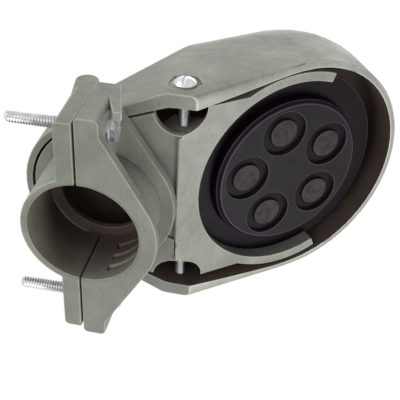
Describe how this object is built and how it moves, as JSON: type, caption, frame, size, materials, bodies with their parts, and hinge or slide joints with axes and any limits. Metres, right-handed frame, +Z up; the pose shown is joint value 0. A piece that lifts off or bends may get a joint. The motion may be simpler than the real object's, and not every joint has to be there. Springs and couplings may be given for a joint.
{
  "type": "service entrance weatherhead",
  "caption": "Clamp-on die-cast weatherhead: a split collar grips the conduit, a hood sheds rain and a black separator with round knockouts faces down at its mouth.",
  "frame": {"origin": "centre of the collar mouth, where the conduit enters, on the conduit axis", "axes": "+Z runs up the conduit axis, +X points to the wire outlet and the nose of the hood, Y runs across through the clamp bolts"},
  "size_m": [0.1419, 0.099, 0.1146],
  "materials": {
    "cast_body": "as cast, matte",
    "cast_strap": "as cast, matte",
    "cast_hood": "as cast, matte",
    "separator": "moulded, satin",
    "zinc_steel": "zinc plated"
  },
  "bodies": {
    "cap": {"body": "cast_body", "hood": "cast_hood", "wire_separator": "separator", "hood_screw_a": "zinc_steel", "hood_screw_b": "zinc_steel"},
    "strap": {"clamp_strap": "cast_strap"},
    "bolt_a": {"clamp_bolt_a": "zinc_steel"},
    "bolt_b": {"clamp_bolt_b": "zinc_steel"}
  },
  "joints": [
    {"name": "bolt_a_turn", "type": "hinge", "parent": "cap", "child": "bolt_a", "pos_m": [0, -0.0388, 0.0122], "axis": [1, 0, 0], "range_deg": [-137, 4083]},
    {"name": "bolt_b_turn", "type": "hinge", "parent": "cap", "child": "bolt_b", "pos_m": [0, 0.0388, 0.0122], "axis": [1, 0, 0], "range_deg": [-137, 4083]},
    {"name": "strap_open", "type": "slide", "parent": "cap", "child": "strap", "axis": [-1, 0, 0], "range_m": [-0.0004, 0.012]}
  ],
  "couplings": [
    {"joint": "bolt_a_turn", "follows": "strap_open", "rad_per_m": 5937},
    {"joint": "bolt_b_turn", "follows": "strap_open", "rad_per_m": 5937}
  ]
}
